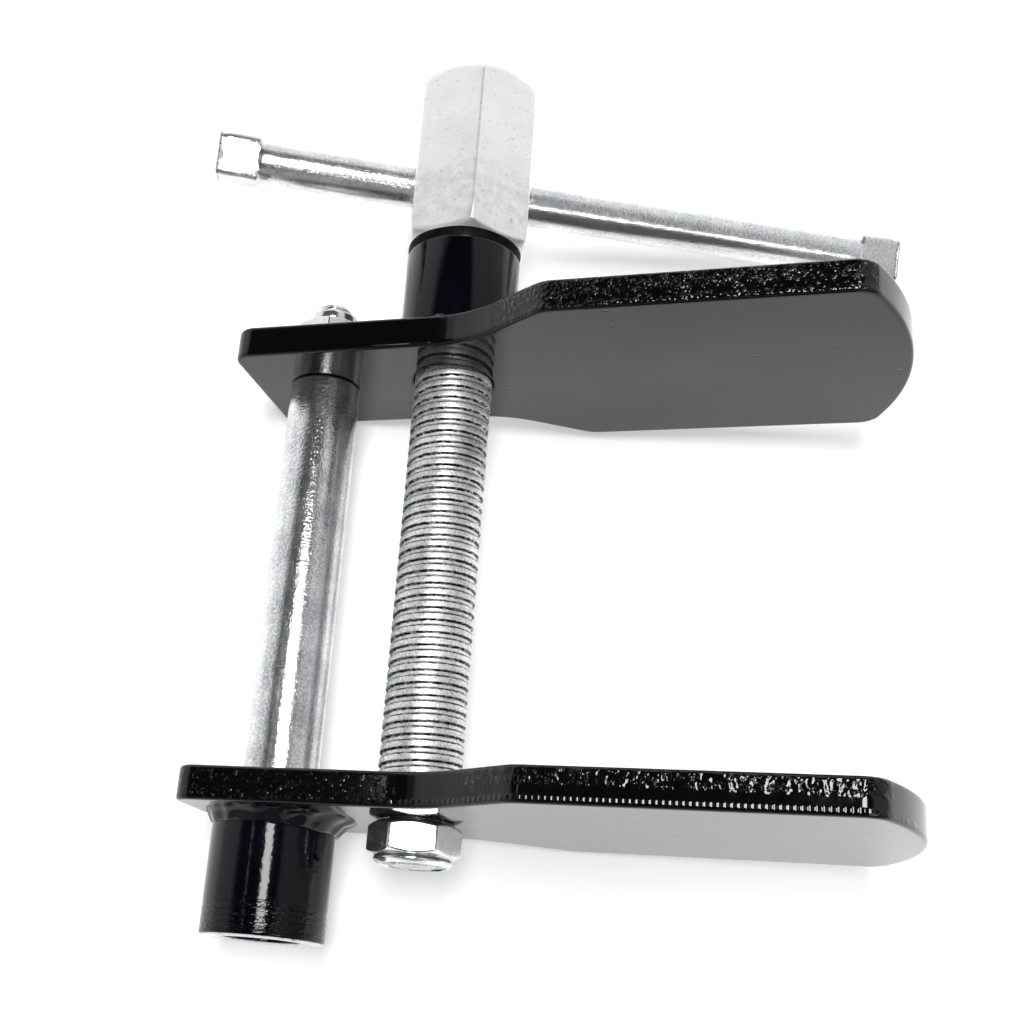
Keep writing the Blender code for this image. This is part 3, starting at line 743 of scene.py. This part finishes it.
def guide_rod_builder(work):
    """The shaft up to the fixed jaw, and through the jaw a thinner stud with the nut's thread."""
    thread_foot, thread_top, top = 8.6, 22.1, 22.8
    shaft = [(STUD_R, -0.05), (ROD_R, -0.05), (ROD_R, ROD_END), (0.4, ROD_END)]
    lathe(work, rounded(shaft, [0, 0.6, 1.0, 0]), 128)
    root = add_thread(work, STUD_R - 0.05, 0.85, 1.5, thread_foot, thread_top, 60, 0.5)
    lathe(work, [(root, thread_foot), (root, 7.0), (STUD_R, 6.5), (STUD_R, -0.04)], 60)
    lathe(work, rounded([(0.3, top), (4.1, top), (root, thread_top)], [0, 0.5, 0]), 60)


make("guide_rod_body", shifted(guide_rod_builder, ROD_X), "fixed_jaw",
     [rod_zinc], ["guide_rod"])
make("guide_rod_washer_body", tube_builder(10.0, STUD_HOLE, 8.05, 10.25, 0.35, 0.2, ROD_X), "fixed_jaw",
     [nut_zinc], ["guide_rod_washer"])
make("guide_rod_nut_body",
     nut_builder(apothem=8.0, hex_height=6.8, height=9.9, collar=6.5, bore=5.05, insert=6.0,
                 turn=math.radians(15), foot=10.45, outward=1, x=ROD_X), "fixed_jaw",
     [nut_zinc], ["guide_rod_nut"])
make("guide_rod_insert_body", tube_builder(5.95, 4.7, 18.4, 20.0, 0.25, 0.25, ROD_X), "fixed_jaw",
     [insert_nylon], ["guide_rod_nut_insert"])

# ------------------------------------------------------------------ moving jaw

moving_holes = [(0.0, JOURNAL_R + 0.1), (ROD_X, ROD_R + 0.3)]
make("moving_jaw_plate_body", plate_builder(-GAP, MOVING_FOOT, moving_holes, 11.0), "moving_jaw",
     [moving_face, moving_edge], ["moving_jaw_plate"], 50)


def boss_builder(work):
    """The guide boss, a tube with faint turning marks near its rim."""
    top = MOVING_FOOT - 0.02
    bore = ROD_R + 0.1
    corners = [(BOSS_R, top), (BOSS_R, BOSS_END), (bore, BOSS_END), (bore, top)]
    rims = rounded(corners, [0, 0.9, 0.6, 0], 5, closed=True)
    rings = 110
    marks = [1.9, 2.6, 4.0, 5.3, 6.6, 7.2]  # heights above the rim
    profile = []
    for k in range(rings + 1):
        y = top + (BOSS_END + 1.2 - top) * k / rings
        depth = sum(0.07 * math.exp(-((y - BOSS_END - mark) / 0.20) ** 2) for mark in marks)
        profile.append((BOSS_R - depth, y))
    profile += [p for p in rims if p[1] < BOSS_END + 1.0 or p[0] < BOSS_R - 1]
    lathe(work, profile, 120, ROD_X, closed=True)


make("guide_boss_body", boss_builder, "moving_jaw", [boss_paint], ["guide_boss"])
make("boss_weld_bead", weld_builder(BOSS_R, MOVING_FOOT, -1, 3.2, ROD_X, 6.0, 1.5), "moving_jaw",
     [weld_paint], ["boss_weld"])

# ------------------------------------------------------------------ spindle


def spindle_builder(work):
    """The main thread up into the head, a shoulder on the moving jaw, and the threaded journal below."""
    top = 46.0
    shoulder = -GAP + 0.3
    foot = shoulder + 0.8
    journal_low, journal_high = SPINDLE_END + 0.6, SPINDLE_END + 9.5
    root = add_thread(work, SPINDLE_R - 0.02, 0.66, PITCH, foot, top, 84, 1.0)
    lathe(work, [(root, foot), (root - 0.5, shoulder), (JOURNAL_R, shoulder), (JOURNAL_R, journal_high)], 84)
    small = add_thread(work, JOURNAL_R - 0.05, 0.95, 1.75, journal_low, journal_high, 60, 0.6)
    tip = [(small, journal_low), (small - 0.6, SPINDLE_END), (0.4, SPINDLE_END)]
    lathe(work, rounded(tip, [0, 0.3, 0]), 60)
    lathe(work, [(root, top), (root - 1, top), (1.0, top)], 84)


make("spindle_body", spindle_builder, "spindle", [thread_zinc], ["spindle"], 60)


def head_builder(work):
    """The hexagon head with its blind bore, a chamfered foot and a domed top."""
    corner = HEAD_A / math.cos(math.pi / 6)
    bore = SPINDLE_R + 0.2
    profile = [(bore, HEAD_FOOT + 10.0, 0), (bore, HEAD_FOOT + 0.5, 0),
               (SPINDLE_R + 0.7, HEAD_FOOT, 0), (HEAD_A - 0.5, HEAD_FOOT, 0),
               (HEAD_A - 0.15, HEAD_FOOT + 0.05)]
    for k in range(9):
        t = k / 8
        profile.append((HEAD_A - 0.1 + (corner + 0.5 - HEAD_A) * t, HEAD_FOOT + 0.1 + 1.5 * t))
    profile += [(corner * 1.25, HEAD_FOOT + 6), (corner * 1.35, HEAD_FOOT + 20),
                (corner * 1.25, HEAD_TOP - 12)]
    flat, drop = 9.0, 5.0
    for k in range(17):
        a = math.pi / 2 * (1 - k / 16)
        profile.append((flat + (corner + 0.3 - flat) * math.sin(a), HEAD_TOP - drop * (1 - math.cos(a))))
    profile += [(6.0, HEAD_TOP + 0.03), (1.0, HEAD_TOP + 0.05)]
    hexed(work, profile, HEAD_A, HEAD_TURN, sharpness=120, blend=46)
    work.normal_update()
    # The foot's downward faces take the second material, painted shade for the gap over the collar.
    for face in work.faces:
        if abs(face.normal.y) > 0.9 and face.calc_center_median().y < HEAD_FOOT + 0.3:
            face.material_index = 1


def bore_eye(head):
    """Drills the tommy bar's eye through the head, with a small countersink at each mouth."""
    mesh = bpy.data.meshes.new("bar_eye")
    work = bmesh.new()
    mouth = HEAD_A / math.cos(BAR_TURN - HEAD_TURN)
    radius = BAR_R + 0.1
    half = [(radius + 3.0, mouth + 2.6), (radius, mouth - 0.4)]
    lathe(work, half + [(r, -h) for r, h in half[::-1]], 64)
    bmesh.ops.recalc_face_normals(work, faces=work.faces)
    bmesh.ops.rotate(work, matrix=Matrix.Rotation(-math.pi / 2, 3, "Z"), verts=work.verts)
    along_bar = Matrix.Translation((0, BAR_Y, 0)) @ Matrix.Rotation(BAR_TURN, 4, "Y")
    work.transform(TOOL @ Matrix.Scale(MM, 4) @ along_bar)
    work.to_mesh(mesh)
    work.free()
    cutter = bpy.data.objects.new("bar_eye", mesh)
    bpy.context.scene.collection.objects.link(cutter)
    boolean = head.modifiers.new("eye", "BOOLEAN")
    boolean.object = cutter
    boolean.solver = "EXACT"
    graph = bpy.context.evaluated_depsgraph_get()
    cut = bpy.data.meshes.new_from_object(head.evaluated_get(graph))
    head.modifiers.clear()
    for face in cut.polygons:
        face.use_smooth = True
    cut.set_sharp_from_angle(angle=math.radians(45))
    head.data = cut
    bpy.data.objects.remove(cutter)


head = make("hex_head_body", head_builder, "spindle", [head_zinc, head_foot_shade], ["hex_head"], 45)
bore_eye(head)

nut_foot = MOVING_FOOT - 0.3
make("spindle_nut_body",
     nut_builder(apothem=9.5, hex_height=7.4, height=9.5, collar=9.2, bore=6.05, insert=7.9,
                 turn=math.radians(-16), foot=nut_foot, outward=-1), "spindle",
     [nut_zinc], ["spindle_nut"])
make("spindle_nut_insert_body", tube_builder(7.85, 5.75, nut_foot - 9.0, nut_foot - 7.2, 0.3, 0.3), "spindle",
     [insert_nylon], ["spindle_nut_insert"])

# ------------------------------------------------------------------ tommy bar


def bar_section(t, angle):
    """Radius at an angle for a section pinched by t, from 0 (round) to 1 (pinched)."""
    a = angle - math.radians(16)
    flat, wide, squareness = 4.55, 6.05, 7
    reached = (abs(math.cos(a)) / flat) ** squareness + (abs(math.sin(a)) / wide) ** squareness
    return BAR_R + (reached ** (-1 / squareness) - BAR_R) * t


def bar_builder(work):
    """The bar along Z: a rounded and pinched end, a round length, and the same end mirrored."""
    stations = []  # (Z, how far pinched, inset of the end's rounding)
    for k in range(5):
        a = math.radians(22.5 * k)
        stations.append((BAR_NEAR + 0.7 * (1 - math.sin(a)), 1.0, 0.7 * (1 - math.cos(a))))
    for t in (0.25, 0.5, 0.75, 0.93):
        stations.append((BAR_NEAR + PINCH * t, 1.0 - 0.12 * t, 0.0))
    for t, share in ((0.97, 0.84), (1.0, 0.55), (1.03, 0.18), (1.06, 0.0)):
        stations.append((BAR_NEAR + PINCH * t, share, 0.0))
    mirrored = [(BAR_NEAR + BAR_FAR - s, share, inset) for s, share, inset in stations]
    count = 60
    near_in, far_in = BAR_NEAR + PINCH, BAR_FAR - PINCH
    for k in range(1, count):
        stations.append((near_in + 1 + (far_in - near_in - 2) * k / count, 0.0, 0.0))
    stations += mirrored[::-1]
    rows = []
    for s, share, inset in stations:
        row = []
        for i in range(72):
            angle = 2 * math.pi * i / 72
            r = bar_section(share, angle) - inset
            r += 0.03 * share * noise.noise(Vector((math.cos(angle) * 2, math.sin(angle) * 2, s * 0.3)))
            row.append((r * math.cos(angle), r * math.sin(angle), s))
        rows.append(row)
    made = grid(work, rows)
    cap(work, made[0], (0, 0, stations[0][0]))
    cap(work, made[-1], (0, 0, stations[-1][0]))


make("tommy_bar_body", bar_builder, "tommy_bar", [bar_zinc], ["tommy_bar"], 50, BAR)

# ------------------------------------------------------------------ floor, light, camera


def floor():
    """A round floor a hair below the tool."""
    bpy.ops.mesh.primitive_circle_add(vertices=96, radius=3.0, fill_type="NGON", location=(0, 0, -0.0002))
    obj = bpy.context.object
    obj.name = "floor"
    obj.data.materials.append(floor_material())


def area_light(name, location, size, power, target=(0, 0, 0.03)):
    """A white rectangular lamp that faces its target. Places and sizes are in metres."""
    data = bpy.data.lights.new(name, "AREA")
    data.shape = "RECTANGLE"
    data.size, data.size_y = size
    data.energy = power
    obj = bpy.data.objects.new(name, data)
    obj.location = location
    obj.rotation_euler = (Vector(target) - Vector(location)).to_track_quat("-Z", "Y").to_euler()
    bpy.context.scene.collection.objects.link(obj)


def world():
    """A studio that is pale all round below the lamps, more so to the left and behind, and dark overhead."""
    made = bpy.data.worlds.new("studio")
    made.use_nodes = True
    tree = made.node_tree

    def spread(source, low, high, to_low, to_high, kind="LINEAR"):
        node = tree.nodes.new("ShaderNodeMapRange")
        node.interpolation_type = kind
        for key, value in (("From Min", low), ("From Max", high), ("To Min", to_low), ("To Max", to_high)):
            node.inputs[key].default_value = value
        tree.links.new(source, node.inputs["Value"])
        return node.outputs["Result"]

    def both(operation, a, b):
        node = tree.nodes.new("ShaderNodeMath")
        node.operation = operation
        tree.links.new(a, node.inputs[0])
        tree.links.new(b, node.inputs[1])
        return node.outputs[0]

    coords = tree.nodes.new("ShaderNodeTexCoord")
    parts = tree.nodes.new("ShaderNodeSeparateXYZ")
    tree.links.new(coords.outputs["Generated"], parts.inputs[0])
    x, y, z = parts.outputs
    # The pale wall reaches higher on the left than on the right.
    height = both("ADD", z, spread(x, 0.10, 0.50, 0.06, -0.24))
    wall = spread(height, 0.56, 0.74, 1.0, 0.02, "SMOOTHSTEP")
    level = both("MULTIPLY", spread(x, -1, 1, 0.88, 0.54), spread(y, -1, 1, 0.35, 1.55))
    back = tree.nodes["Background"]
    back.inputs["Color"].default_value = (0.975, 0.985, 1.0, 1)
    tree.links.new(both("MULTIPLY", wall, level), back.inputs["Strength"])
    bpy.context.scene.world = made


def camera():
    """At the photograph's place in the tool's own frame, turned and shifted to its framing."""
    data = bpy.data.cameras.new("camera")
    data.lens = 50.8
    data.sensor_width = 36.0
    data.shift_x = 0.109
    data.shift_y = 0.027
    data.clip_start, data.clip_end = 0.01, 10.0
    obj = bpy.data.objects.new("camera", data)
    bpy.context.scene.collection.objects.link(obj)
    obj.matrix_world = TOOL @ camera_matrix()
    bpy.context.scene.camera = obj


def camera_matrix():
    """The camera's place in the tool's frame, from the fit's rotation vector and translation."""
    unit = 0.974  # mm in one unit of the fit
    spin = Vector((-0.343, 0.309, 0.039))
    base = Matrix(((1, 0, 0), (0, 0, -1), (0, 1, 0)))
    turn = Matrix.Rotation(spin.length, 3, spin.normalized()) @ base
    offset = Vector((13.817, -40.743, 375.817))
    place = -(turn.transposed() @ offset)
    right, down, forward = (Vector(turn[k]) for k in range(3))

    def local(v):
        """From the fit's axes to the tool's."""
        return Vector((v.x, v.z, -v.y))

    where = local(place) * unit * MM
    x, y, z = local(right), -local(down), -local(forward)
    return Matrix((
        (x.x, y.x, z.x, where.x),
        (x.y, y.y, z.y, where.y),
        (x.z, y.z, z.z, where.z),
        (0, 0, 0, 1),
    ))


floor()
area_light("overhead", (0.0, 0.0, 1.2), (0.28, 0.62), 12.0)
area_light("left_strip", (-0.62, 0.0, 1.04), (0.6, 0.012), 0.16)
area_light("front_strip", (0.58, -0.60, 1.0), (0.6, 0.13), 1.6, target=(0.58, 0.0, 0.03))
world()
camera()
bpy.context.scene.view_settings.view_transform = "Standard"
